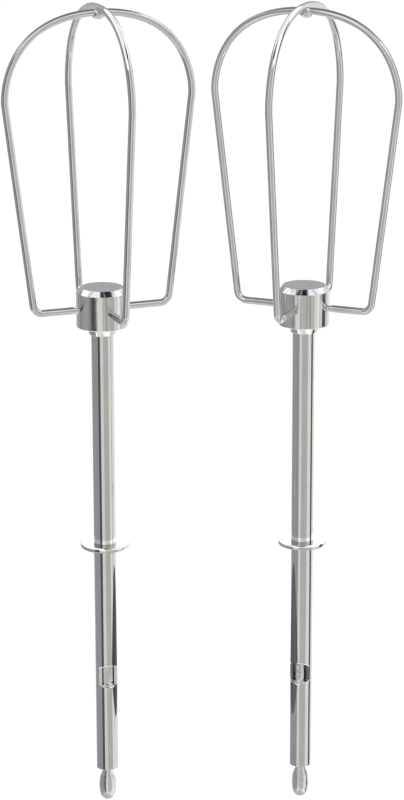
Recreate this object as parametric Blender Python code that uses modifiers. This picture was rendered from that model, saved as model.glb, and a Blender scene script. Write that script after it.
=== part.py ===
"""A pair of hand-mixer beaters, whisk cages up and drive tips down.

Frame: metres, +Z up. The origin is midway between the two shaft axes, level with the bottom of the tips.
Each beater is a rolled shaft tube, a turned tip pin seated in it, a pressed-on collar ring, a turned hub and two crossing wire loops joined by a weld.
"""

import math

import bmesh
import bpy
from mathutils import Euler, Matrix, Vector

MM = 0.001
GAP = 0.3  # clearance left between seated pieces

# Pair layout
HALF_SPACING = 26.15  # from the origin to each shaft axis
SPIN_LEFT = 18.8  # direction of the front arm, degrees from -Y towards +X
SPIN_RIGHT = -25.3

# Shaft tube
SHAFT_R = 2.9
BORE_R = 2.15
SHAFT_Z0, SHAFT_Z1 = 9.19, 134.7
SHAFT_SIDES = 40
END_CHAMFER = 0.25

# Window in the front wall of the tube
WINDOW_Z = 36.1
WINDOW_HALF_W, WINDOW_HALF_H = 3.05, 2.8
WINDOW_POWER = 2.7
WINDOW_FLOOR = 0.75  # distance of the cut's floor from the axis

# Tapered flat beside the window
LEAF_TURN = 27.7  # degrees from the window's direction
LEAF_TOP, LEAF_DEEP, LEAF_BOTTOM = 67.0, 36.1, 23.8
LEAF_DEPTH = 0.42

# Tip pin: (radius, height), from its end inside the tube down to the bottom of the tip
PLUG_R = BORE_R - GAP
STEM_R = 1.29
PIN_PROFILE = (
    (0.0, 46.3),
    (PLUG_R - 0.3, 46.3),
    (PLUG_R, 46.0),
    (PLUG_R, 39.2),
    (STEM_R, 39.2),
    (STEM_R, 33.55),
    (PLUG_R - 0.25, 33.55),
    (PLUG_R, 33.2),
    (PLUG_R, SHAFT_Z0),
    (1.36, SHAFT_Z0),
    (1.36, 8.7),
    (1.42, 8.2),
    (1.66, 7.6),
    (1.98, 6.7),
    (2.16, 5.7),
    (2.27, 4.6),
    (2.27, 3.5),
    (2.2, 2.4),
    (2.02, 1.35),
    (1.72, 0.62),
    (1.3, 0.22),
    (0.75, 0.0),
    (0.0, 0.0),
)
PIN_SIDES = 32

# Collar ring on the shaft
COLLAR_R = 6.45
COLLAR_Z0, COLLAR_Z1 = 72.18, 73.53
COLLAR_EDGE = 0.5
COLLAR_SIDES = 56

# Hub
HUB_R = 6.7
HUB_Z0, HUB_Z1 = 132.37, 142.76
HUB_TOP_R = 5.5
HUB_CHAMFER_H = 1.3
NECK_Z0 = 130.3
NECK_R0, NECK_R1 = 3.5, 3.8
HUB_EDGE = 0.3
HUB_SIDES = 56

# Wire loops: a flat arm out of the hub, a bend, a straight leaning outwards and an arch over the top
WIRE_R = 0.95
ARM_Z = 137.15
ARM_R0 = 2.9  # where the wire ends inside the hub
CORNER_R = 18.32
BEND_R = 2.6
SHOULDER_R, SHOULDER_Z = 25.0, 191.52
ARCH_LOW, ARCH_HIGH = 2.26, 24.67
INNER_TOP_Z, OUTER_TOP_Z = 213.67, 214.84
BEND_STEPS, ARCH_STEPS = 6, 16

# Weld where the loops cross
WELD_R, WELD_HALF_H, WELD_Z = 1.75, 1.4, 213.15

STEEL = (0.62, 0.62, 0.61, 1.0)


def material(name, roughness):
    mat = bpy.data.materials.new(name)
    mat.use_nodes = True
    shader = mat.node_tree.nodes["Principled BSDF"]
    shader.inputs["Base Color"].default_value = STEEL
    shader.inputs["Metallic"].default_value = 1.0
    shader.inputs["Roughness"].default_value = roughness
    return mat


def finish(obj, mat=None, axis=None):
    """Give a piece its material, smooth shading and parent."""
    if mat:
        obj.data.materials.append(mat)
    if obj.type == "MESH" and obj.data.polygons:
        obj.data.shade_smooth()
        obj.data.set_sharp_from_angle(angle=math.radians(32))
    obj.parent = axis
    return obj


def turned(name, profile, sides, collection, ring=False):
    """A body turned from (radius, height) points that run down its outer side. A ring's last point joins its first."""
    mesh = bpy.data.meshes.new(name)
    links = [(i, i + 1) for i in range(len(profile) - 1)]
    if ring:
        links.append((len(profile) - 1, 0))
    mesh.from_pydata([(r * MM, 0.0, z * MM) for r, z in profile], links, [])
    obj = bpy.data.objects.new(name, mesh)
    collection.objects.link(obj)
    screw = obj.modifiers.new("turn", "SCREW")
    screw.axis = "Z"
    screw.angle = 2 * math.pi
    screw.steps = sides
    screw.render_steps = sides
    screw.use_merge_vertices = True
    screw.merge_threshold = 0.00001
    screw.use_smooth_shade = True
    return obj


def heading(degrees):
    """Unit vector of a direction counted from -Y towards +X."""
    a = math.radians(degrees)
    return Vector((math.sin(a), -math.cos(a), 0.0))


def as_mesh(curve_obj, collection):
    """The mesh of a curve object, with its caps welded on. The curve is removed."""
    bpy.context.view_layer.update()
    graph = bpy.context.evaluated_depsgraph_get()
    mesh = bpy.data.meshes.new_from_object(curve_obj.evaluated_get(graph))
    name, matrix = curve_obj.name, curve_obj.matrix_world.copy()
    bpy.data.objects.remove(curve_obj, do_unlink=True)
    mesh.name = name
    bm = bmesh.new()
    bm.from_mesh(mesh)
    bmesh.ops.remove_doubles(bm, verts=bm.verts, dist=0.000001)
    bmesh.ops.recalc_face_normals(bm, faces=bm.faces)
    bm.to_mesh(mesh)
    bm.free()
    obj = bpy.data.objects.new(name, mesh)
    obj.matrix_world = matrix
    collection.objects.link(obj)
    return obj


def extruded(name, outline, half_thickness, location, rotation, collection):
    """A flat outline of (x, y) points in millimetres, thickened both ways and stood in place."""
    curve = bpy.data.curves.new(name, "CURVE")
    curve.dimensions = "2D"
    curve.fill_mode = "BOTH"
    curve.extrude = half_thickness * MM
    spline = curve.splines.new("POLY")
    spline.points.add(len(outline) - 1)
    for point, (x, y) in zip(spline.points, outline):
        point.co = (x * MM, y * MM, 0.0, 1.0)
    spline.use_cyclic_u = True
    obj = bpy.data.objects.new(name, curve)
    obj.location = location
    obj.rotation_euler = rotation
    collection.objects.link(obj)
    return as_mesh(obj, collection)


def flat_rod(name, radius, direction, low, high, z, collection, sides=20):
    """A round rod lying level along a direction, from low to high millimetres from the axis."""
    bm = bmesh.new()
    bmesh.ops.create_cone(
        bm,
        cap_ends=True,
        segments=sides,
        radius1=radius * MM,
        radius2=radius * MM,
        depth=(high - low) * MM,
    )
    mesh = bpy.data.meshes.new(name)
    bm.to_mesh(mesh)
    bm.free()
    obj = bpy.data.objects.new(name, mesh)
    out = heading(direction)
    obj.rotation_mode = "QUATERNION"
    obj.rotation_quaternion = out.to_track_quat("Z", "Y")
    obj.location = out * ((low + high) / 2 * MM) + Vector((0, 0, z * MM))
    collection.objects.link(obj)
    return obj


def cut(body, cutter):
    modifier = body.modifiers.new("cut " + cutter.name, "BOOLEAN")
    modifier.operation = "DIFFERENCE"
    modifier.solver = "EXACT"
    modifier.object = cutter
    cutter.hide_render = True
    cutter.display_type = "WIRE"


def half_loop(top_z):
    """(radius, height) points of half a loop, from its end in the hub to just before the top."""
    points = [(ARM_R0, ARM_Z), (8.0, ARM_Z), (12.5, ARM_Z)]
    lean = Vector((SHOULDER_R - CORNER_R, SHOULDER_Z - ARM_Z)).normalized()
    turn = math.acos(lean.x)  # the bend's angle, from the level arm to the straight
    reach = BEND_R * math.tan(turn / 2)
    centre = Vector((CORNER_R - reach, ARM_Z + BEND_R))
    for i in range(BEND_STEPS + 1):
        a = -math.pi / 2 + turn * i / BEND_STEPS
        points.append(tuple(centre + BEND_R * Vector((math.cos(a), math.sin(a)))))
    start, end = Vector(points[-1]), Vector((SHOULDER_R, SHOULDER_Z))
    points += [tuple(start.lerp(end, share)) for share in (0.33, 0.66)]
    p0, p3 = end, Vector((0.0, top_z))
    p1, p2 = p0 + lean * ARCH_LOW, p3 + Vector((ARCH_HIGH, 0.0))
    for i in range(ARCH_STEPS):
        t = i / ARCH_STEPS
        s = 1 - t
        points.append(
            tuple(p0 * s**3 + p1 * 3 * s * s * t + p2 * 3 * s * t * t + p3 * t**3)
        )
    return points


def wire_loop(name, top_z, direction, collection):
    """A round wire bent to the loop, in the upright plane of a direction."""
    half = half_loop(top_z)
    path = half + [(0.0, top_z)] + [(-r, z) for r, z in reversed(half)]
    out = heading(direction)
    curve = bpy.data.curves.new(name, "CURVE")
    curve.dimensions = "3D"
    curve.bevel_depth = WIRE_R * MM
    curve.bevel_resolution = 4
    curve.use_fill_caps = True
    spline = curve.splines.new("POLY")
    spline.points.add(len(path) - 1)
    for point, (r, z) in zip(spline.points, path):
        point.co = (out.x * r * MM, out.y * r * MM, z * MM, 1.0)
    obj = bpy.data.objects.new(name, curve)
    collection.objects.link(obj)
    return obj


def window_outline():
    """A rounded rectangle of (across, up) points about the window's middle."""
    points = []
    for i in range(28):
        a = 2 * math.pi * (i + 0.5) / 28
        c, s = math.cos(a), math.sin(a)
        points.append(
            (
                math.copysign(abs(c) ** (2 / WINDOW_POWER), c) * WINDOW_HALF_W,
                math.copysign(abs(s) ** (2 / WINDOW_POWER), s) * WINDOW_HALF_H,
            )
        )
    return points


def build_beater(name, x, spin, leaf_side, parts, helpers):
    """One beater, parented to an empty on its own shaft axis."""
    axis = bpy.data.objects.new(name + "_axis", None)
    axis.location = (x * MM, 0.0, 0.0)
    axis.empty_display_size = 0.02
    parts.objects.link(axis)

    tube = turned(
        name + "_shaft_tube",
        (
            (BORE_R, SHAFT_Z1),
            (SHAFT_R, SHAFT_Z1),
            (SHAFT_R, SHAFT_Z0 + END_CHAMFER),
            (SHAFT_R - END_CHAMFER, SHAFT_Z0),
            (BORE_R, SHAFT_Z0),
        ),
        SHAFT_SIDES,
        parts,
        ring=True,
    )
    finish(tube, material(name + "_shaft_steel", 0.08), axis)

    # the tapered flat: a wedge outline of (outward, up) points, stood upright
    turn = math.radians(spin + leaf_side * LEAF_TURN)
    leaf = extruded(
        name + "_cut_leaf",
        (
            (SHAFT_R + 0.02, LEAF_TOP),
            (SHAFT_R - LEAF_DEPTH, LEAF_DEEP),
            (SHAFT_R + 0.02, LEAF_BOTTOM),
            (SHAFT_R + 2.0, LEAF_BOTTOM),
            (SHAFT_R + 2.0, LEAF_TOP),
        ),
        4.0,
        (0.0, 0.0, 0.0),
        Euler((math.pi / 2, 0.0, turn - math.pi / 2)),
        helpers,
    )
    finish(leaf, axis=axis)
    cut(tube, leaf)

    # the window: its outline faces the spin direction and runs in to the floor
    middle = (WINDOW_FLOOR + 5.0) / 2
    window = extruded(
        name + "_cut_window",
        window_outline(),
        5.0 - middle,
        heading(spin) * (middle * MM) + Vector((0.0, 0.0, WINDOW_Z * MM)),
        Euler((math.pi / 2, 0.0, math.radians(spin))),
        helpers,
    )
    finish(window, axis=axis)
    cut(tube, window)

    finish(
        turned(name + "_tip_pin", PIN_PROFILE, PIN_SIDES, parts),
        material(name + "_tip_steel", 0.1),
        axis,
    )

    e = COLLAR_EDGE
    quarter = [math.radians(a) for a in (90, 60, 30, 0)]
    collar = (
        [(SHAFT_R + GAP, COLLAR_Z1)]
        + [
            (COLLAR_R - e + e * math.cos(a), COLLAR_Z1 - e + e * math.sin(a))
            for a in quarter
        ]
        + [
            (COLLAR_R - e + e * math.cos(a), COLLAR_Z0 + e - e * math.sin(a))
            for a in reversed(quarter)
        ]
        + [(SHAFT_R + GAP, COLLAR_Z0)]
    )
    finish(
        turned(name + "_collar_ring", collar, COLLAR_SIDES, parts, ring=True),
        material(name + "_collar_steel", 0.1),
        axis,
    )

    hub = turned(
        name + "_hub",
        (
            (0.0, HUB_Z1),
            (HUB_TOP_R, HUB_Z1),
            (HUB_R, HUB_Z1 - HUB_CHAMFER_H),
            (HUB_R, HUB_Z0 + HUB_EDGE),
            (HUB_R - HUB_EDGE, HUB_Z0),
            (NECK_R1, HUB_Z0),
            (NECK_R0, NECK_Z0),
            (SHAFT_R + GAP, NECK_Z0),
            (SHAFT_R + GAP, SHAFT_Z1 + GAP),
            (0.0, SHAFT_Z1 + GAP),
        ),
        HUB_SIDES,
        parts,
    )
    finish(hub, material(name + "_hub_steel", 0.08), axis)
    for k in range(4):
        hole = flat_rod(
            f"{name}_cut_arm_hole_{k}",
            WIRE_R + GAP,
            spin + 90 * k,
            ARM_R0 - GAP,
            9.0,
            ARM_Z,
            helpers,
        )
        finish(hole, axis=axis)
        cut(hub, hole)

    # the outer loop runs front to back, over the inner loop
    outer = wire_loop(name + "_loop_outer", OUTER_TOP_Z, spin, parts)
    finish(outer, material(name + "_loop_outer_steel", 0.12), axis)
    inner = as_mesh(wire_loop(name + "_loop_inner", INNER_TOP_Z, spin + 90, parts), parts)
    finish(inner, material(name + "_loop_inner_steel", 0.12), axis)
    seat = flat_rod(
        name + "_cut_crossing_seat",
        WIRE_R + GAP + 0.05,
        spin,
        -3.4,
        3.4,
        OUTER_TOP_Z,
        helpers,
    )
    finish(seat, axis=axis)
    cut(inner, seat)

    bm = bmesh.new()
    bmesh.ops.create_uvsphere(
        bm,
        u_segments=20,
        v_segments=12,
        radius=MM,
        matrix=Matrix.Translation((0.0, 0.0, WELD_Z * MM))
        @ Matrix.Diagonal((WELD_R, WELD_R, WELD_HALF_H, 1.0)),
    )
    mesh = bpy.data.meshes.new(name + "_crossing_weld")
    bm.to_mesh(mesh)
    bm.free()
    weld = bpy.data.objects.new(name + "_crossing_weld", mesh)
    parts.objects.link(weld)
    finish(weld, material(name + "_weld_steel", 0.3), axis)
    # the inner wire's seat, and the weld's top cut off level with that wire
    under = flat_rod(
        name + "_cut_weld_seat",
        WIRE_R + GAP + 0.02,
        spin + 90,
        -3.4,
        3.4,
        INNER_TOP_Z - 0.02,
        helpers,
    )
    bm = bmesh.new()
    bmesh.ops.create_cube(bm, size=6 * MM)
    mesh = bpy.data.meshes.new(name + "_cut_weld_top")
    bm.to_mesh(mesh)
    bm.free()
    top = bpy.data.objects.new(name + "_cut_weld_top", mesh)
    top.location = (0.0, 0.0, (INNER_TOP_Z - 0.1 + 3.0) * MM)
    top.rotation_euler = (0.0, 0.0, math.radians(spin))
    helpers.objects.link(top)
    for cutter in (seat, under, top):
        if cutter is not seat:
            finish(cutter, axis=axis)
        cut(weld, cutter)


for old in list(bpy.data.objects):
    bpy.data.objects.remove(old, do_unlink=True)

beaters = bpy.data.collections.new("hand_mixer_beaters")
bpy.context.scene.collection.children.link(beaters)
cutters = bpy.data.collections.new("cutters")
bpy.context.scene.collection.children.link(cutters)

build_beater("left", -HALF_SPACING, SPIN_LEFT, 1, beaters, cutters)
build_beater("right", HALF_SPACING, SPIN_RIGHT, -1, beaters, cutters)
cutters.hide_render = True
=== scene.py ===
"""The pair of hand-mixer beaters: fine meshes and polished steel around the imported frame, on a pale floor in soft studio light."""

import math

import bmesh
import bpy
from mathutils import Matrix, Vector, noise


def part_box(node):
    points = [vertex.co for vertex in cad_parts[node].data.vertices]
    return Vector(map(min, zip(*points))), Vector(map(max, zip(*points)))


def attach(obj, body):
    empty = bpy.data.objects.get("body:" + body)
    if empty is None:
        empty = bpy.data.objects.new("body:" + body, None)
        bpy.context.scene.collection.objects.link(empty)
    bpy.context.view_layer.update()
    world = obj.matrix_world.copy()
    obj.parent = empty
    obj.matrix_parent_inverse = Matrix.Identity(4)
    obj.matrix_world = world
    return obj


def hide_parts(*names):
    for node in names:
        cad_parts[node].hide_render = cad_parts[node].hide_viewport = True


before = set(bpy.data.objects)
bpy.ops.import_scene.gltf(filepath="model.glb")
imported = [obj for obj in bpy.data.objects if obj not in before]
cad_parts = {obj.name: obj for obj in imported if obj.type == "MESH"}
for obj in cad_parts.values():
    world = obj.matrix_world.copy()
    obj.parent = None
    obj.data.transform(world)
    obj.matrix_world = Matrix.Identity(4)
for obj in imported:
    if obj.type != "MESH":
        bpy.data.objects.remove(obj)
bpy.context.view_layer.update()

MM = 0.001

# Shapes shared with the CAD, in millimetres
SHAFT_R, BORE_R = 2.9, 2.15
WIRE_R = 0.95
ARM_Z, CORNER_R, BEND_R = 137.15, 18.32, 2.6
SHOULDER_R, SHOULDER_Z = 25.0, 191.52
ARCH_LOW, ARCH_HIGH = 2.26, 24.67
INNER_TOP_Z, OUTER_TOP_Z = 213.67, 214.84
STEM_R = {"left": 1.42, "right": 1.2}
WINDOW_Z, WINDOW_HALF_W, WINDOW_HALF_H, WINDOW_POWER = 36.1, 3.05, 2.8, 2.7
WINDOW_FLOOR, LIP = {"left": 1.35, "right": 0.8}, 0.52
LEAF_TURN = {"left": 37.5, "right": 27.2}
LEAF_TOP, LEAF_DEEP, LEAF_BOTTOM = 67.3, 36.1, 24.2
LEAF_DEPTH = {"left": 0.16, "right": 0.235}
LEAF_CROWN = 5.8
SPIN = {"left": 18.8, "right": -25.3}
LEAF_SIDE = {"left": 1, "right": -1}


def heading(degrees):
    """Unit vector of a direction counted from -Y towards +X."""
    a = math.radians(degrees)
    return Vector((math.sin(a), -math.cos(a), 0.0))


# ---------------------------------------------------------------- meshes


def object_from(bm, name, x):
    """A piece whose origin is on its beater's axis."""
    mesh = bpy.data.meshes.new(name)
    bm.to_mesh(mesh)
    bm.free()
    obj = bpy.data.objects.new(name, mesh)
    obj.location = (x * MM, 0.0, 0.0)
    bpy.context.scene.collection.objects.link(obj)
    return obj


def shade(obj, angle=24.0):
    obj.data.shade_smooth()
    obj.data.set_sharp_from_angle(angle=math.radians(angle))
    return obj


def fillet(points, steps=6):
    """(radius, height) points of a profile of (radius, height, fillet radius) corners."""
    out = []
    count = len(points)
    for i, (r, z, f) in enumerate(points):
        if not f:
            out.append((r, z))
            continue
        p = Vector((r, z))
        a = Vector(points[i - 1][:2]) - p
        b = Vector(points[(i + 1) % count][:2]) - p
        angle = a.angle(b)
        reach = min(f / math.tan(angle / 2), 0.48 * a.length, 0.48 * b.length)
        f = reach * math.tan(angle / 2)
        centre = p + (a.normalized() + b.normalized()).normalized() * (
            f / math.sin(angle / 2)
        )
        start = p + a.normalized() * reach - centre
        end = p + b.normalized() * reach - centre
        turn = math.atan2(
            start.x * end.y - start.y * end.x, start.x * end.x + start.y * end.y
        )
        for k in range(steps + 1):
            t = turn * k / steps
            c, s = math.cos(t), math.sin(t)
            out.append(
                (
                    centre.x + start.x * c - start.y * s,
                    centre.y + start.x * s + start.y * c,
                )
            )
    return out


def smooth_profile(points, per=7):
    """A Catmull-Rom curve through (radius, height) points."""
    p = [Vector(q) for q in points]
    p = [2 * p[0] - p[1]] + p + [2 * p[-1] - p[-2]]
    out = []
    for i in range(1, len(p) - 2):
        for k in range(per):
            t = k / per
            q = 0.5 * (
                2 * p[i]
                + (p[i + 1] - p[i - 1]) * t
                + (2 * p[i - 1] - 5 * p[i] + 4 * p[i + 1] - p[i + 2]) * t * t
                + (3 * p[i] - p[i - 1] - 3 * p[i + 1] + p[i + 2]) * t**3
            )
            out.append((max(q.x, 0.0), q.y))
    out.append(tuple(points[-1]))
    return out


def lathe(name, profile, sides, x, ring=False):
    """A turned body. Profile points on the axis become poles."""
    bm = bmesh.new()
    rows = []
    for r, z in profile:
        if r < 1e-5:
            rows.append([bm.verts.new((0.0, 0.0, z * MM))])
        else:
            rows.append(
                [
                    bm.verts.new(
                        (
                            r * MM * math.cos(2 * math.pi * k / sides),
                            r * MM * math.sin(2 * math.pi * k / sides),
                            z * MM,
                        )
                    )
                    for k in range(sides)
                ]
            )
    pairs = list(zip(rows, rows[1:]))
    if ring:
        pairs.append((rows[-1], rows[0]))
    for a, b in pairs:
        for k in range(sides):
            n = (k + 1) % sides
            if len(a) == 1 and len(b) == 1:
                continue
            if len(a) == 1:
                bm.faces.new((a[0], b[k], b[n]))
            elif len(b) == 1:
                bm.faces.new((a[k], b[0], a[n]))
            else:
                bm.faces.new((a[k], b[k], b[n], a[n]))
    bmesh.ops.recalc_face_normals(bm, faces=bm.faces)
    return object_from(bm, name, x)


def sweep(name, path, direction, radius, sides, x):
    """A round wire along (radius, height) points in the upright plane of a direction, with its length and its girth in millimetres as UVs."""
    out, up = heading(direction), Vector((0.0, 0.0, 1.0))
    side = out.cross(up)
    points = [out * r + up * z for r, z in path]
    bm = bmesh.new()
    uv = bm.loops.layers.uv.new("along")
    rows, lengths, run = [], [], 0.0
    for i, p in enumerate(points):
        before, after = points[max(i - 1, 0)], points[min(i + 1, len(points) - 1)]
        tangent = (after - before).normalized()
        other = tangent.cross(side)
        run += (p - before).length if i else 0.0
        lengths.append(run)
        rows.append(
            [
                bm.verts.new(
                    (
                        p
                        + (
                            side * math.cos(2 * math.pi * k / sides)
                            + other * math.sin(2 * math.pi * k / sides)
                        )
                        * radius
                    )
                    * MM
                )
                for k in range(sides)
            ]
        )
    girth = 2 * math.pi * radius
    for i in range(len(rows) - 1):
        for k in range(sides):
            n = (k + 1) % sides
            face = bm.faces.new((rows[i][k], rows[i + 1][k], rows[i + 1][n], rows[i][n]))
            spots = ((i, k), (i + 1, k), (i + 1, k + 1), (i, k + 1))
            for loop, (row, column) in zip(face.loops, spots):
                loop[uv].uv = (lengths[row], girth * column / sides)
    bm.faces.new(rows[0])
    bm.faces.new(list(reversed(rows[-1])))
    bmesh.ops.recalc_face_normals(bm, faces=bm.faces)
    return object_from(bm, name, x)


def half_loop(top_z):
    """(radius, height) points of half a wire loop, from its end in the hub to just before the top."""
    turn_from = ARM_Z
    lean = Vector((SHOULDER_R - CORNER_R, SHOULDER_Z - ARM_Z)).normalized()
    turn = math.acos(lean.x)
    reach = BEND_R * math.tan(turn / 2)
    centre = Vector((CORNER_R - reach, turn_from + BEND_R))
    points = [(2.9 + (centre.x - 2.9) * k / 14, ARM_Z) for k in range(14)]
    for i in range(25):
        a = -math.pi / 2 + turn * i / 24
        points.append(tuple(centre + BEND_R * Vector((math.cos(a), math.sin(a)))))
    start, end = Vector(points[-1]), Vector((SHOULDER_R, SHOULDER_Z))
    points += [tuple(start.lerp(end, k / 40)) for k in range(1, 40)]
    p0, p3 = end, Vector((0.0, top_z))
    p1, p2 = p0 + lean * ARCH_LOW, p3 + Vector((ARCH_HIGH, 0.0))
    for i in range(64):
        t = i / 64
        s = 1 - t
        points.append(
            tuple(p0 * s**3 + p1 * 3 * s * s * t + p2 * 3 * s * t * t + p3 * t**3)
        )
    return points


def wire_loop(name, top_z, direction, x):
    half = half_loop(top_z)
    path = half + [(0.0, top_z)] + [(-r, z) for r, z in reversed(half)]
    return shade(sweep(name, path, direction, WIRE_R, 40, x), 40)


def leaf_surface(z, depth):
    """How far the tapered flat's middle is from the axis at a height."""
    if z >= LEAF_DEEP:
        share = (LEAF_TOP - z) / (LEAF_TOP - LEAF_DEEP)
    else:
        share = (z - LEAF_BOTTOM) / (LEAF_DEEP - LEAF_BOTTOM)
    return SHAFT_R - depth * share


def leaf_cutter(direction, depth):
    """A solid whose inner face is the slightly crowned tapered flat."""
    out, up = heading(direction), Vector((0.0, 0.0, 1.0))
    side = up.cross(out)
    bm = bmesh.new()
    heights = [LEAF_BOTTOM - 1.5 + k * 0.5 for k in range(int((LEAF_TOP - LEAF_BOTTOM + 3) / 0.5) + 1)]
    across = [-3.2 + 6.4 * k / 64 for k in range(65)]
    rows = []
    for z in heights:
        far = leaf_surface(z, depth)
        row = [
            bm.verts.new(
                (out * (far - t * t / (2 * LEAF_CROWN)) + side * t + up * z) * MM
            )
            for t in across
        ]
        row += [
            bm.verts.new((out * 6.0 + side * 3.2 + up * z) * MM),
            bm.verts.new((out * 6.0 - side * 3.2 + up * z) * MM),
        ]
        rows.append(row)
    n = len(rows[0])
    for a, b in zip(rows, rows[1:]):
        for k in range(n):
            bm.faces.new((a[k], a[(k + 1) % n], b[(k + 1) % n], b[k]))
    bm.faces.new(rows[0])
    bm.faces.new(list(reversed(rows[-1])))
    bmesh.ops.recalc_face_normals(bm, faces=bm.faces)
    return object_from(bm, "cutter_leaf", 0.0)


def window_cutter(direction, floor):
    """The window's rounded opening, from its flat floor out to a rolled lip that follows the tube."""
    out, up = heading(direction), Vector((0.0, 0.0, 1.0))
    side = up.cross(out)
    count = 144
    outline = []
    for i in range(count):
        a = 2 * math.pi * (i + 0.5) / count
        c, s = math.cos(a), math.sin(a)
        outline.append(
            Vector(
                (
                    math.copysign(abs(c) ** (2 / WINDOW_POWER), c) * WINDOW_HALF_W,
                    math.copysign(abs(s) ** (2 / WINDOW_POWER), s) * WINDOW_HALF_H,
                )
            )
        )
    normals = []
    for i in range(count):
        t = (outline[(i + 1) % count] - outline[i - 1]).normalized()
        normals.append(Vector((t.y, -t.x)))
    levels = [("floor", 0.0)]
    steps = 8
    for k in range(steps + 1):
        a = math.radians(90 - 74 * k / steps)
        levels.append((LIP - LIP * math.cos(a), LIP - LIP * math.sin(a)))
    bm = bmesh.new()
    rows = []
    for depth, spread in levels + [("out", 0.0)]:
        row = []
        for p, n in zip(outline, normals):
            weight = min(1.0, max(0.0, (2.78 - abs(p.x)) / 0.3))
            if depth == "floor":
                q, far = p, floor
            elif depth == "out":
                q = p + n * (LIP * 1.05 + 0.9) * weight
                far = 5.5
            else:
                q = p + n * spread * weight
                reach = max(SHAFT_R**2 - q.x**2, 0.0) ** 0.5
                far = max(reach - depth, floor + 0.02 + 0.02 * (LIP - depth))
            row.append(
                bm.verts.new((side * q.x + up * (WINDOW_Z + q.y) + out * far) * MM)
            )
        rows.append(row)
    for a, b in zip(rows, rows[1:]):
        for k in range(count):
            m = (k + 1) % count
            bm.faces.new((a[k], a[m], b[m], b[k]))
    bm.faces.new(rows[0])
    bm.faces.new(list(reversed(rows[-1])))
    bmesh.ops.recalc_face_normals(bm, faces=bm.faces)
    return object_from(bm, "cutter_window", 0.0)


def tidy(mesh):
    """Welds the cut's seams, keeps only the main body and closes any pinhole left in it."""
    bm = bmesh.new()
    bm.from_mesh(mesh)
    bmesh.ops.remove_doubles(bm, verts=bm.verts, dist=0.002 * MM)
    bmesh.ops.dissolve_degenerate(bm, edges=bm.edges, dist=0.001 * MM)
    seen, bodies = set(), []
    for start in bm.verts:
        if start in seen:
            continue
        body, todo = [], [start]
        seen.add(start)
        while todo:
            v = todo.pop()
            body.append(v)
            for edge in v.link_edges:
                other = edge.other_vert(v)
                if other not in seen:
                    seen.add(other)
                    todo.append(other)
        bodies.append(body)
    bodies.sort(key=len)
    for body in bodies[:-1]:
        bmesh.ops.delete(bm, geom=body, context="VERTS")
    loose = [e for e in bm.edges if not e.link_faces]
    bmesh.ops.delete(bm, geom=loose, context="EDGES")
    bmesh.ops.holes_fill(bm, edges=[e for e in bm.edges if e.is_boundary], sides=0)
    bmesh.ops.recalc_face_normals(bm, faces=bm.faces)
    bm.to_mesh(mesh)
    bm.free()


def apply_cuts(obj, cutters):
    """Cuts the shapes out with exact Booleans. Faces that a cutter leaves take that cutter's material."""
    for cutter in cutters:
        cutter.location = obj.location
        modifier = obj.modifiers.new("cut", "BOOLEAN")
        modifier.operation = "DIFFERENCE"
        modifier.solver = "EXACT"
        modifier.material_mode = "TRANSFER"
        modifier.object = cutter
    bpy.context.view_layer.update()
    graph = bpy.context.evaluated_depsgraph_get()
    mesh = bpy.data.meshes.new_from_object(obj.evaluated_get(graph))
    obj.modifiers.clear()
    obj.data = mesh
    for cutter in cutters:
        bpy.data.objects.remove(cutter, do_unlink=True)
    tidy(obj.data)
    return obj


def round_normals(obj, radius):
    """Gives what is left of a turned outer wall its true round normals."""
    mesh = obj.data
    normals = [Vector(c.vector) for c in mesh.corner_normals]
    for face in mesh.polygons:
        centre = face.center
        if abs(face.normal.z) > 0.05:
            continue
        spots = [mesh.vertices[mesh.loops[i].vertex_index].co for i in face.loop_indices]
        if min(math.hypot(p.x, p.y) for p in spots) < (radius - 0.004) * MM:
            continue
        if face.normal.x * centre.x + face.normal.y * centre.y < 0:
            continue
        for i, p in zip(face.loop_indices, spots):
            normals[i] = Vector((p.x, p.y, 0.0)).normalized()
    mesh.normals_split_custom_set(normals)


def flatten_waist(mesh, direction):
    """Presses the pin's waist to a rounded square that faces a direction."""
    out = heading(direction)
    side = Vector((0.0, 0.0, 1.0)).cross(out)
    power = 6.0
    for v in mesh.vertices:
        radius = math.hypot(v.co.x, v.co.y)
        height = v.co.z / MM
        share = min(1.0, max(0.0, (height - 33.75) / 0.25), max(0.0, (38.95 - height) / 0.25))
        if share <= 0.0 or radius < 0.5 * MM:
            continue
        c, s = abs(v.co.dot(out)) / radius, abs(v.co.dot(side)) / radius
        grow = (c**power + s**power) ** (-1.0 / power)
        factor = 1.0 + (grow - 1.0) * share
        v.co.x *= factor
        v.co.y *= factor


def weld_lump(name, x, direction):
    """The welded lump under the crossing: an uneven bead drawn up against both wires."""
    bm = bmesh.new()
    bmesh.ops.create_icosphere(bm, subdivisions=5, radius=1.0)
    turn = Matrix.Rotation(math.radians(direction), 3, "Z")
    seed = Vector((x * 0.37, 4.1, 9.7))
    for v in bm.verts:
        p = v.co.copy()
        lump = (
            0.10 * noise.noise(p * 1.6 + seed)
            + 0.06 * noise.noise(p * 4.2 + seed)
            + 0.022 * noise.noise(p * 11.0 + seed)
        )
        p *= 1.0 + lump
        p = Vector((p.x * 1.72, p.y * 1.66, p.z * 1.42))
        v.co = (turn @ p + Vector((0.0, 0.0, 213.3))) * MM
    return shade(object_from(bm, name, x), 60)


# ---------------------------------------------------------------- materials


def node(tree, kind, **values):
    made = tree.nodes.new(kind)
    for key, value in values.items():
        if hasattr(made, key):
            setattr(made, key, value)
        else:
            made.inputs[key.replace("_", " ")].default_value = value
    return made


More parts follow.
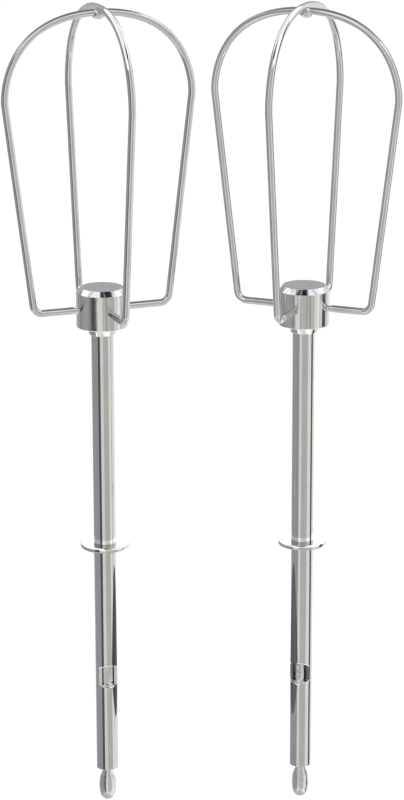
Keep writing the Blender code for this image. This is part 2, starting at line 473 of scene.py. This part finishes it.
def stretched(tree, source, scale, noise_scale=1.0, detail=4.0, rough=0.55, turn=(0, 0, 0)):
    """Noise pulled out along an axis by the mapping's scale."""
    mapping = tree.nodes.new("ShaderNodeMapping")
    mapping.inputs["Scale"].default_value = scale
    mapping.inputs["Rotation"].default_value = [math.radians(a) for a in turn]
    tree.links.new(source, mapping.inputs["Vector"])
    tex = tree.nodes.new("ShaderNodeTexNoise")
    tex.inputs["Scale"].default_value = noise_scale
    tex.inputs["Detail"].default_value = detail
    tex.inputs["Roughness"].default_value = rough
    tree.links.new(mapping.outputs["Vector"], tex.inputs["Vector"])
    return tex.outputs["Fac"]


def to_range(tree, value, low, high, from_low=0.3, from_high=0.7):
    made = tree.nodes.new("ShaderNodeMapRange")
    made.inputs["From Min"].default_value = from_low
    made.inputs["From Max"].default_value = from_high
    made.inputs["To Min"].default_value = low
    made.inputs["To Max"].default_value = high
    tree.links.new(value, made.inputs["Value"])
    return made.outputs["Result"]


def math_node(tree, operation, a, b=None, clamp=False):
    made = tree.nodes.new("ShaderNodeMath")
    made.operation = operation
    made.use_clamp = clamp
    for socket, value in zip(made.inputs, (a, b)):
        if value is None:
            continue
        if isinstance(value, (int, float)):
            socket.default_value = value
        else:
            tree.links.new(value, socket)
    return made.outputs[0]


def steel(
    name,
    color,
    roughness,
    marks="along",
    marks_depth=0.35,
    scratch=0.5,
    smudge=0.04,
    patch=0.05,
    pitch=5200.0,
    depth=0.000012,
    streaks=0.5,
):
    """Polished steel with drawing or turning marks, hairline scratches, faint smudges and a little uneven tone.

    marks is along for lines that run along Z, around for lines round the Z axis, wire for lines along a wire's UVs, and cast for a grainy bead."""
    mat = bpy.data.materials.new(name)
    mat.use_nodes = True
    tree = mat.node_tree
    shader = tree.nodes["Principled BSDF"]
    shader.inputs["Metallic"].default_value = 1.0
    place = tree.nodes.new("ShaderNodeTexCoord")
    spot = place.outputs["Object"]
    if marks == "wire":
        along = tree.nodes.new("ShaderNodeUVMap")
        along.uv_map = "along"
        lines = stretched(tree, along.outputs["UV"], (0.05, 9.0, 1.0), 1.0, 3.0)
        fine = stretched(tree, along.outputs["UV"], (0.5, 40.0, 1.0), 1.0, 2.0)
    elif marks == "around":
        split = tree.nodes.new("ShaderNodeSeparateXYZ")
        tree.links.new(spot, split.inputs[0])
        square = math_node(
            tree,
            "ADD",
            math_node(tree, "POWER", split.outputs["X"], 2.0),
            math_node(tree, "POWER", split.outputs["Y"], 2.0),
        )
        radius = math_node(tree, "POWER", square, 0.5)
        combined = tree.nodes.new("ShaderNodeCombineXYZ")
        tree.links.new(radius, combined.inputs["X"])
        tree.links.new(split.outputs["Z"], combined.inputs["Y"])
        lines = stretched(tree, combined.outputs[0], (5000.0, 5000.0, 1.0), 1.0, 2.0)
        fine = stretched(tree, combined.outputs[0], (17000.0, 17000.0, 1.0), 1.0, 2.0)
    elif marks == "cast":
        lines = stretched(tree, spot, (pitch * 0.3,) * 3, 1.0, 4.0, 0.5)
        fine = stretched(tree, spot, (pitch * 1.1,) * 3, 1.0, 3.0)
    else:
        lines = stretched(tree, spot, (pitch, pitch, 14.0), 1.0, 3.0)
        fine = stretched(tree, spot, (16000.0, 16000.0, 60.0), 1.0, 2.0)
    hair_a = stretched(
        tree, spot, (9000.0, 260.0, 420.0), 1.0, 2.0, 0.4, (18, 34, 51)
    )
    hair_b = stretched(
        tree, spot, (300.0, 8000.0, 380.0), 1.0, 2.0, 0.4, (62, 12, 27)
    )
    hairs = math_node(
        tree,
        "ADD",
        to_range(tree, hair_a, 0.0, 1.0, 0.66, 0.74),
        to_range(tree, hair_b, 0.0, 1.0, 0.66, 0.74),
        clamp=True,
    )
    smears = stretched(tree, spot, (190.0, 230.0, 110.0), 1.0, 4.0, 0.6)
    worn = math_node(
        tree,
        "ADD",
        to_range(tree, lines, -0.035, 0.035),
        to_range(tree, smears, 0.0, smudge, 0.42, 0.75),
    )
    worn = math_node(tree, "ADD", worn, math_node(tree, "MULTIPLY", hairs, 0.10))
    worn = math_node(tree, "ADD", worn, roughness)
    tree.links.new(
        math_node(tree, "MAXIMUM", worn, 0.035), shader.inputs["Roughness"]
    )
    tone = tree.nodes.new("ShaderNodeMix")
    tone.data_type = "RGBA"
    tone.inputs["A"].default_value = [c * (1 - patch) for c in color] + [1.0]
    tone.inputs["B"].default_value = [min(c * (1 + patch), 1.0) for c in color] + [1.0]
    tree.links.new(
        to_range(
            tree,
            math_node(
                tree,
                "ADD",
                math_node(tree, "MULTIPLY", lines, streaks),
                math_node(tree, "MULTIPLY", smears, 1.0 - streaks),
            ),
            0.0,
            1.0,
            0.38,
            0.62,
        ),
        tone.inputs["Factor"],
    )
    tree.links.new(tone.outputs["Result"], shader.inputs["Base Color"])
    height = math_node(
        tree,
        "ADD",
        math_node(tree, "MULTIPLY", lines, marks_depth),
        math_node(tree, "MULTIPLY", fine, marks_depth * 0.35),
    )
    height = math_node(
        tree, "SUBTRACT", height, math_node(tree, "MULTIPLY", hairs, scratch)
    )
    bump = tree.nodes.new("ShaderNodeBump")
    bump.inputs["Strength"].default_value = 0.16 if marks != "cast" else 0.6
    bump.inputs["Distance"].default_value = depth
    tree.links.new(height, bump.inputs["Height"])
    tree.links.new(bump.outputs["Normal"], shader.inputs["Normal"])
    return mat


shaft_steel = steel("shaft_chrome", (0.665, 0.66, 0.65), 0.10)
# The tapered flats carry a painted dark reflection: their steel is coloured near black on the left beater and dark grey
# on the right, the same flat painted darker or lighter per beater
leaf_painted_dark_reflection = {
    "left": steel("ground_flat_painted_dark_reflection_left", (0.055, 0.055, 0.058), 0.17, marks_depth=0.9, patch=0.2, pitch=2600.0),
    "right": steel("ground_flat_painted_dark_reflection_right", (0.25, 0.245, 0.258), 0.18, marks_depth=0.9, patch=0.32, pitch=2600.0, streaks=0.9),
}
lip_steel = steel("window_lip_chrome", (0.80, 0.80, 0.79), 0.16, "cast", 0.5, depth=0.00005)
bore_steel = steel("bore_chrome", (0.74, 0.74, 0.73), 0.30, "around", 0.5)
# The window's flat floor is painted light on the left beater (pale steel) and painted shade on the right (dark steel):
# lit and shaded copies of one surface
notch_floor_painted_light_and_shade = {
    "left": steel("notch_floor_painted_light_left", (0.82, 0.82, 0.81), 0.22, "cast", 0.6, depth=0.00008),
    "right": steel("notch_floor_painted_shade_right", (0.22, 0.22, 0.23), 0.22, "cast", 0.6, depth=0.00008),
}
tip_steel = steel("tip_chrome", (0.72, 0.72, 0.71), 0.05, "cast", 0.8, scratch=0.5, patch=0.16, pitch=2400.0, depth=0.0002)
collar_steel = steel("collar_chrome", (0.68, 0.68, 0.67), 0.09, "around", 0.2)
hub_side_steel = steel("hub_chrome", (0.67, 0.665, 0.66), 0.08, "along", 1.0, patch=0.24, pitch=1500.0, depth=0.00008, streaks=0.9)
hub_top_steel = steel("hub_top_chrome", (0.66, 0.655, 0.66), 0.13, "around", 0.55)
wire_steel = steel("wire_chrome", (0.68, 0.68, 0.67), 0.075, "wire", 0.5, patch=0.08)
weld_steel = steel("weld_satin_steel", (0.56, 0.555, 0.55), 0.22, "cast", 0.9, smudge=0.1, patch=0.25, depth=0.00012)


# ---------------------------------------------------------------- pieces

pieces = {"left": [], "right": []}


def own(piece, side, nodes, materials):
    """Hands a finished piece to its beater's body in place of its plain CAD nodes."""
    if not piece.data.materials:
        for mat in materials:
            piece.data.materials.append(mat)
    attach(piece, side + "_beater")
    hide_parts(*nodes)
    pieces[side].append(piece)
    return piece


def build_beater(side):
    spin, leaf_side = SPIN[side], LEAF_SIDE[side]
    low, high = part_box(side + "_hub")
    x = (low.x + high.x) / 2 / MM
    hub_z0, hub_z1 = 132.37, high.z / MM
    shaft_low, shaft_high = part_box(side + "_shaft_tube")
    z0, z1 = shaft_low.z / MM, shaft_high.z / MM + 0.3

    # shaft tube
    profile = fillet(
        [
            (BORE_R, z1, 0.0),
            (SHAFT_R, z1, 0.0),
            (SHAFT_R, z0, 0.22),
            (BORE_R, z0, 0.12),
        ],
        5,
    )
    tube = lathe(side + "_shaft_tube_fine", profile, 180, x, ring=True)
    tube.data.materials.append(shaft_steel)
    tube.data.materials.append(bore_steel)
    for face in tube.data.polygons:
        spots = [tube.data.vertices[v].co for v in face.vertices]
        if max(math.hypot(p.x, p.y) for p in spots) < (BORE_R + 0.02) * MM:
            face.material_index = 1
    leaf = leaf_cutter(spin + leaf_side * LEAF_TURN[side], LEAF_DEPTH[side])
    # the flat's faces take the painted dark reflection colour
    leaf.data.materials.append(leaf_painted_dark_reflection[side])
    window = window_cutter(spin, WINDOW_FLOOR[side])
    window.data.materials.append(lip_steel)
    window.data.materials.append(notch_floor_painted_light_and_shade[side])
    # the window's flat floor faces take the painted light colour on the left beater and the painted shade colour on the
    # right
    for face in window.data.polygons:
        if abs(face.normal.dot(heading(spin))) > 0.99 and face.center.dot(heading(spin)) < 3.0 * MM:
            face.material_index = 1
    apply_cuts(tube, [leaf, window])
    shade(tube, 9.0)
    round_normals(tube, SHAFT_R)
    own(tube, side, [side + "_shaft_tube"], [])

    # tip pin
    stem = STEM_R[side]
    bulb = smooth_profile(
        [
            (1.36, 9.3),
            (1.36, 8.75),
            (1.43, 8.2),
            (1.66, 7.5),
            (1.95, 6.7),
            (2.15, 5.8),
            (2.26, 4.8),
            (2.28, 3.9),
            (2.22, 2.8),
            (2.06, 1.75),
            (1.78, 0.85),
            (1.32, 0.28),
            (0.7, 0.04),
            (0.0, 0.0),
        ]
    )
    pin = (
        fillet(
            [
                (0.0, 46.3, 0.0),
                (BORE_R - 0.02, 46.3, 0.2),
                (BORE_R - 0.02, 39.0, 0.25),
                (stem + 0.05, 38.9, 0.2),
                (stem + 0.05, 37.6, 0.5),
                (stem + 0.01, 37.0, 0.5),
                (stem + 0.06, 36.3, 0.5),
                (stem + 0.02, 35.5, 0.5),
                (stem + 0.05, 34.8, 0.5),
                (stem + 0.05, 33.75, 0.3),
                (BORE_R - 0.02, 33.55, 0.25),
                (BORE_R - 0.02, 9.75, 0.1),
                (1.36, 9.6, 0.1),
            ],
            5,
        )[:-1]
        + bulb
    )
    turned = lathe(side + "_tip_pin_fine", pin, 96, x)
    flatten_waist(turned.data, spin)
    own(
        shade(turned, 40),
        side,
        [side + "_tip_pin"],
        [tip_steel],
    )

    # collar ring
    low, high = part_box(side + "_collar_ring")
    c0, c1 = low.z / MM, high.z / MM
    outer = (high.x - low.x) / 2 / MM
    rim = fillet(
        [
            (SHAFT_R - 0.02, c1, 0.0),
            (outer, c1, 0.52),
            (outer, c0, 0.52),
            (SHAFT_R - 0.02, c0, 0.0),
        ],
        10,
    )
    own(
        shade(lathe(side + "_collar_ring_fine", rim, 144, x, ring=True), 35),
        side,
        [side + "_collar_ring"],
        [collar_steel],
    )

    # hub
    hub_r = (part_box(side + "_hub")[1].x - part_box(side + "_hub")[0].x) / 2 / MM
    hub = fillet(
        [
            (0.0, hub_z1, 0.0),
            (5.5, hub_z1, 0.10),
            (hub_r, hub_z1 - 1.3, 0.10),
            (hub_r, hub_z0, 0.28),
            (3.95, hub_z0, 0.12),
            (3.45, 130.3, 0.15),
            (SHAFT_R - 0.02, 130.3, 0.0),
        ],
        6,
    )
    hub += [(SHAFT_R - 0.02, z1), (0.0, z1)]
    body = shade(lathe(side + "_hub_fine", hub, 168, x), 12)
    body.data.materials.append(hub_side_steel)
    body.data.materials.append(hub_top_steel)
    for face in body.data.polygons:
        if face.normal.z > 0.5:
            face.material_index = 1
    own(body, side, [side + "_hub"], [])

    # wire loops and the weld between them
    own(
        wire_loop(side + "_loop_outer_fine", OUTER_TOP_Z, spin, x),
        side,
        [side + "_loop_outer"],
        [wire_steel],
    )
    own(
        wire_loop(side + "_loop_inner_fine", INNER_TOP_Z, spin + 90, x),
        side,
        [side + "_loop_inner"],
        [wire_steel],
    )
    own(
        weld_lump(side + "_crossing_weld_fine", x, spin),
        side,
        [side + "_crossing_weld"],
        [weld_steel],
    )


for beater in ("left", "right"):
    build_beater(beater)

# ---------------------------------------------------------------- camera

AZIMUTH, PITCH, ROLL = -0.0353, 0.2767, -0.0023
right = Vector((math.cos(AZIMUTH), math.sin(AZIMUTH), 0.0))
level = Vector((-math.sin(AZIMUTH), math.cos(AZIMUTH), 0.0))
forward = level * math.cos(PITCH) + Vector((0.0, 0.0, -math.sin(PITCH)))
above = right.cross(forward)
rolled = right * math.cos(ROLL) + above * math.sin(ROLL)
top = -right * math.sin(ROLL) + above * math.cos(ROLL)
place = (right * -0.3275 + Vector((0.0, 0.0, 112.08)) - forward * 732.53) * MM
camera_data = bpy.data.cameras.new("camera")
camera_data.sensor_width = 36.0
camera_data.lens = 2802.97 * 36.0 / 800.0
camera_data.clip_start, camera_data.clip_end = 0.05, 60.0
camera = bpy.data.objects.new("camera", camera_data)
camera.matrix_world = Matrix.Translation(place) @ Matrix(
    (rolled, top, -forward)
).transposed().to_4x4()
bpy.context.scene.collection.objects.link(camera)
bpy.context.scene.camera = camera

# ---------------------------------------------------------------- floor and light

bm = bmesh.new()
bmesh.ops.create_grid(bm, x_segments=8, y_segments=8, size=14.0)
floor = object_from(bm, "floor", 0.0)
floor.location = (0.0, 0.0, -0.30)
paper = bpy.data.materials.new("pale_floor")
paper.use_nodes = True
paper_shader = paper.node_tree.nodes["Principled BSDF"]
paper_shader.inputs["Base Color"].default_value = (0.93, 0.93, 0.93, 1.0)
paper_shader.inputs["Roughness"].default_value = 0.9
paper_shader.inputs["Specular IOR Level"].default_value = 0.1
floor.data.materials.append(paper)
floor.visible_glossy = False
floor.visible_shadow = False

world = bpy.data.worlds.new("studio")
world.use_nodes = True
world.node_tree.nodes["Background"].inputs["Color"].default_value = (1, 1, 1, 1)
world.node_tree.nodes["Background"].inputs["Strength"].default_value = 1.15
world.cycles_visibility.glossy = False
bpy.context.scene.world = world
bpy.context.scene.view_settings.view_transform = "Standard"

# Softboxes stand round each beater out of the camera's sight. Each one lights one beater only.
FAR = 1.5
VIOLET, GREEN, WHITE = (1.0, 0.985, 1.035), (1.0, 1.0, 0.935), (1.0, 1.0, 1.0)
receivers = {}
for beater in ("left", "right"):
    for group in ("", "_loops", "_outer", "_inner", "_rest", "_collar", "_main", "_tube", "_pin"):
        receivers[beater + group] = bpy.data.collections.new(beater + group + "_lit")
    for piece in pieces[beater]:
        if "loop" in piece.name:
            groups = ("", "_loops", "_outer" if "outer" in piece.name else "_inner")
        elif "collar" in piece.name:
            groups = ("", "_rest", "_collar")
        else:
            groups = ("", "_rest", "_main", "_pin" if "pin" in piece.name else "_tube")
        for group in groups:
            receivers[beater + group].objects.link(piece)


def softbox(side, spot, facing, width, height, level, tint):
    """A flat light of a given brightness, that a polished piece mirrors as an even panel."""
    data = bpy.data.lights.new("softbox", "AREA")
    data.shape = "RECTANGLE"
    data.size, data.size_y = width, height
    data.color = tint
    data.energy = level * math.pi * width * height
    light = bpy.data.objects.new("softbox", data)
    light.location = spot
    light.rotation_mode = "QUATERNION"
    light.rotation_quaternion = Vector(facing).to_track_quat("-Z", "Y")
    light.visible_camera = False
    light.light_linking.receiver_collection = receivers[side]
    bpy.context.scene.collection.objects.link(light)
    return light


def wall(side, x, az0, az1, el0, el1, level, tint):
    """Upright panels over a range of azimuth, counted from -Y towards +X, and of elevation, in degrees."""
    if az1 <= az0:
        return
    parts = max(1, math.ceil((az1 - az0) / 20))
    step = (az1 - az0) / parts
    low, high = FAR * math.tan(math.radians(el0)), FAR * math.tan(math.radians(el1))
    for k in range(parts):
        out = heading(az0 + step * (k + 0.5))
        spot = Vector((x * MM, 0.0, 0.1 + (low + high) / 2)) + out * FAR
        width = 2 * FAR * math.tan(math.radians(step / 2))
        softbox(side, spot, -out, width, high - low, level, tint)


def ceiling(side, x, x0, x1, y0, y1, level, tint, height=1.6):
    """A level panel overhead. Its sides are in shares of its height above the hubs."""
    spot = Vector((x * MM + (x0 + x1) / 2 * height, (y0 + y1) / 2 * height, 0.14 + height))
    softbox(side, spot, (0, 0, -1), (x1 - x0) * height, (y1 - y0) * height, level, tint)


# Broad walls of light round each beater: azimuth from and to, level, tint
WALLS = {
    "left": (
        (-180, -140, 0.6, WHITE),
        (-140, -50, 0.4, VIOLET),
        (-50, -25, 0.1, VIOLET),
        (-25, 5, 0.9, WHITE),
        (5, 60, 0.6, GREEN),
        (60, 180, 1.0, WHITE),
    ),
    "right": (
        (-180, -150, 1.0, WHITE),
        (-150, -45, 0.4, VIOLET),
        (-45, -20, 0.9, WHITE),
        (-20, 45, 0.6, GREEN),
        (45, 85, 1.0, WHITE),
        (85, 110, 0.1, VIOLET),
        (110, 180, 1.0, WHITE),
    ),
}
# Overhead panels: what they light, x from and to, y from and to, level. The gaps between them are dark.
OVERHEAD = (
    ("left_rest", -1.3, -0.1, -1.3, 1.3, 1.3),
    ("left_rest", 0.6, 1.3, -1.3, 1.3, 1.3),
    ("left_rest", -0.1, 0.6, -0.1, 1.3, 0.6),
    ("right_rest", -1.3, -0.5, -1.3, 1.3, 1.3),
    ("right_rest", 0.2, 1.3, -1.3, 1.3, 1.3),
    ("right_rest", -0.5, 0.2, -0.2, 1.3, 0.6),
    ("left_inner", -1.3, 1.3, -0.3, 1.3, 0.2),
    ("left_inner", -1.3, 1.3, -1.3, -0.3, 0.6),
    ("right_inner", -1.3, 1.3, -0.3, 1.3, 0.2),
    ("right_inner", -1.3, 1.3, -1.3, -0.3, 0.6),
    ("left_outer", -1.3, 0.1, -1.3, 1.3, 1.3),
    ("left_outer", 0.1, 1.3, -0.2, 1.3, 1.0),
    ("right_outer", -0.1, 1.3, -1.3, 1.3, 1.3),
    ("right_outer", -1.3, -0.1, -0.2, 1.3, 1.0),
)
for beater, bands in WALLS.items():
    low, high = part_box(beater + "_hub")
    x = (low.x + high.x) / 2 / MM
    for az0, az1, level, tint in bands:
        wall(beater, x, az0, az1, -45, 6, level, tint)
        for group, share in (("_main", 1.0), ("_loops", 1.0), ("_collar", 2.0)):
            wall(beater + group, x, max(az0, -150), min(az1, 150), 6, 50, level * share, tint)
    # behind and above: grey for the hubs' tops, white for the collars
    wall(beater + "_main", x, 150, 210, 6, 50, 0.5, VIOLET)
    wall(beater + "_loops", x, 150, 210, 6, 50, 0.5, WHITE)
    wall(beater + "_collar", x, 150, 210, 6, 50, 1.6, WHITE)
    for group, level in (("_tube", 1.2), ("_loops", 0.7), ("_pin", 0.6), ("_collar", 0.5)):
        softbox(beater + group, (x * MM, 0.0, -1.38), (0, 0, 1), 3.0, 3.0, level, WHITE)
for name, x0, x1, y0, y1, level in OVERHEAD:
    ceiling(name, -26.15 if name.startswith("left") else 26.15, x0, x1, y0, y1, level, WHITE)
